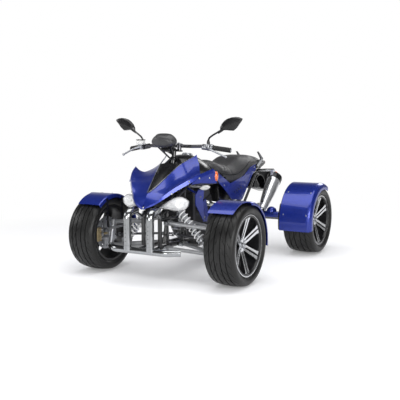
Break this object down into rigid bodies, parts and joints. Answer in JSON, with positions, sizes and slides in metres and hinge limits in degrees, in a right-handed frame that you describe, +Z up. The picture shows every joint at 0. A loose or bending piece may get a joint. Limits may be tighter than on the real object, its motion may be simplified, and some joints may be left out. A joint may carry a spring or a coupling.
{
  "type": "quad bike",
  "caption": "Road-going sport quad bike with low-profile tyres, twin-arm front suspension, handlebar steering and a solid rear axle.",
  "frame": {"origin": "on the ground, on the middle plane, midway between the two axles", "axes": "+X to the vehicle's left, +Y rearward, +Z up"},
  "size_m": [1.281, 1.9265, 1.0406],
  "materials": {
    "caliper_alloy": "satin",
    "chain_steel": "oiled",
    "white_plastic": "satin",
    "engine_alloy": "matt",
    "frame_paint": "gloss",
    "bright_steel": "brushed",
    "plain_alloy": "cast",
    "blue_body": "gloss",
    "wheel_alloy": "machined",
    "damper_alloy": "satin",
    "spring_paint": "gloss",
    "tyre": "matt",
    "grip_rubber": "matt",
    "bar_steel": "polished",
    "clear_lens": "clear",
    "black_plastic": "satin",
    "grey_plastic": "satin",
    "arm_paint": "satin",
    "radiator_alloy": "satin",
    "axle_steel": "satin",
    "saddle_cover": "grained",
    "silencer_alloy": "brushed",
    "red_lens": "gloss",
    "amber_lens": "gloss"
  },
  "bodies": {
    "chassis": {"chain": "chain_steel", "coolant_bottle": "white_plastic", "crankcase": "engine_alloy", "cross_members": "frame_paint", "cylinder": "engine_alloy", "exhaust_pipe": "bright_steel", "fender_stay": "frame_paint", "foot_pegs": "plain_alloy", "frame_uprights": "frame_paint", "front_bumper": "bright_steel", "front_frame": "frame_paint", "front_shocks": "damper_alloy", "front_springs": "spring_paint", "headlight_lenses": "clear_lens", "headlights": "black_plastic", "lower_arms": "arm_paint", "lower_rails": "frame_paint", "nose_panel": "black_plastic", "nose_wings": "blue_body", "plate_holder": "black_plastic", "radiator": "radiator_alloy", "rear_fenders": "blue_body", "rear_shock": "frame_paint", "saddle": "saddle_cover", "shroud_blades": "blue_body", "side_panels": "blue_body", "silencer": "silencer_alloy", "swingarm": "frame_paint", "tail_cover": "grey_plastic", "tail_lamp": "red_lens", "tank_cover": "black_plastic", "turn_signals": "amber_lens", "upper_arms": "arm_paint", "upper_rails": "frame_paint"},
    "steering": {"steering_stem": "frame_paint", "handlebar": "bar_steel", "grips": "grip_rubber", "hand_controls": "plain_alloy", "mirrors": "black_plastic", "instrument_pod": "grey_plastic"},
    "knuckle_left": {"knuckle_left": "plain_alloy", "caliper_left": "caliper_alloy", "front_fender_left": "blue_body"},
    "front_wheel_left": {"front_rim_left": "wheel_alloy", "front_tyre_left": "tyre", "front_hub_left": "plain_alloy"},
    "tie_rod_left": {"tie_rod_left": "axle_steel"},
    "knuckle_right": {"knuckle_right": "plain_alloy", "caliper_right": "caliper_alloy", "front_fender_right": "blue_body"},
    "front_wheel_right": {"front_rim_right": "wheel_alloy", "front_tyre_right": "tyre", "front_hub_right": "plain_alloy"},
    "tie_rod_right": {"tie_rod_right": "axle_steel"},
    "rear_wheels": {"rear_axle": "axle_steel", "rear_rims": "wheel_alloy", "rear_tyres": "tyre"}
  },
  "joints": [
    {"name": "steering_turn", "type": "hinge", "parent": "chassis", "child": "steering", "pos_m": [0, -0.6435, 0.25], "axis": [0, 0.2079, 0.9781], "range_deg": [-30, 30]},
    {"name": "kingpin_left", "type": "hinge", "parent": "chassis", "child": "knuckle_left", "pos_m": [0.436, -0.6515, 0.176], "axis": [-0.1016, 0.0952, 0.9903], "range_deg": [-30, 30]},
    {"name": "tie_rod_pivot_left", "type": "hinge", "parent": "steering", "child": "tie_rod_left", "pos_m": [0.018, -0.57454, 0.27624], "axis": [0, 0.2079, 0.9781], "range_deg": [-30, 30]},
    {"name": "front_spin_left", "type": "hinge", "parent": "knuckle_left", "child": "front_wheel_left", "pos_m": [0.5165, -0.6435, 0.255], "axis": [1, 0, 0], "continuous": true},
    {"name": "kingpin_right", "type": "hinge", "parent": "chassis", "child": "knuckle_right", "pos_m": [-0.436, -0.6515, 0.176], "axis": [0.1016, 0.0952, 0.9903], "range_deg": [-30, 30]},
    {"name": "tie_rod_pivot_right", "type": "hinge", "parent": "steering", "child": "tie_rod_right", "pos_m": [-0.018, -0.57454, 0.27624], "axis": [0, 0.2079, 0.9781], "range_deg": [-30, 30]},
    {"name": "front_spin_right", "type": "hinge", "parent": "knuckle_right", "child": "front_wheel_right", "pos_m": [-0.5165, -0.6435, 0.255], "axis": [1, 0, 0], "continuous": true},
    {"name": "rear_spin", "type": "hinge", "parent": "chassis", "child": "rear_wheels", "pos_m": [0, 0.6435, 0.258], "axis": [1, 0, 0], "continuous": true}
  ],
  "couplings": [
    {"joint": "kingpin_left", "follows": "steering_turn", "ratio": 1},
    {"joint": "tie_rod_pivot_left", "follows": "steering_turn", "ratio": -1},
    {"joint": "kingpin_right", "follows": "steering_turn", "ratio": 1},
    {"joint": "tie_rod_pivot_right", "follows": "steering_turn", "ratio": -1}
  ]
}
